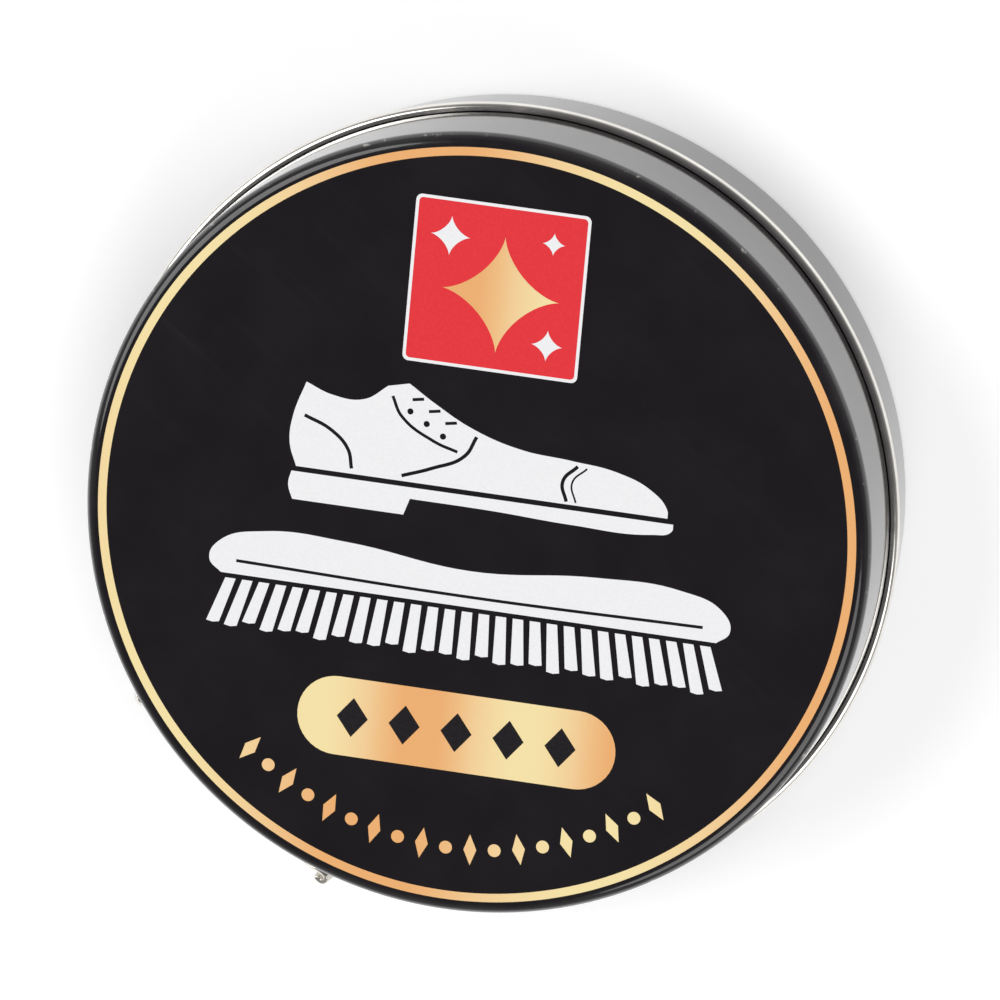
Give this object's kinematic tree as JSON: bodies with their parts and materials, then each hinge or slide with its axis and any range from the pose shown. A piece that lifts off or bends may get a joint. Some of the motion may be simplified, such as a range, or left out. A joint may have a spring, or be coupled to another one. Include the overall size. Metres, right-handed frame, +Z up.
{
  "type": "shoe polish tin",
  "caption": "Flat round tin of wax shoe polish: a drawn can, a slip lid with a rolled hem, and a riveted wing key on its side that prises the lid off.",
  "frame": {"origin": "centre of the face that the tin rests on", "axes": "+Z up along the tin's axis towards the lid; the wing key is on the -Y side and its pivot's axis lies along Y"},
  "size_m": [0.0768, 0.08, 0.0219],
  "materials": {
    "lacquered_tinplate": "gloss black lacquer",
    "printed_tinplate": "gloss black lacquer with a bare bright hem",
    "wax_polish": "soft satin black wax",
    "nickel_plate": "bright nickel plate",
    "rivet_steel": "bright plated steel",
    "washer_steel": "plain zinc-plated steel"
  },
  "bodies": {
    "tin": {"can": "lacquered_tinplate", "polish": "wax_polish", "rivet": "rivet_steel", "rivet_washer": "washer_steel"},
    "cover": {"lid": "printed_tinplate"},
    "key": {"opening_key": "nickel_plate"}
  },
  "joints": [
    {"name": "lid_lift", "type": "slide", "parent": "tin", "child": "cover", "axis": [0, 0, 1], "range_m": [0, 0.03]},
    {"name": "key_turn", "type": "hinge", "parent": "tin", "child": "key", "pos_m": [0, -0.03695, 0.0065], "axis": [0, -1, 0], "range_deg": [-35, 5]}
  ]
}
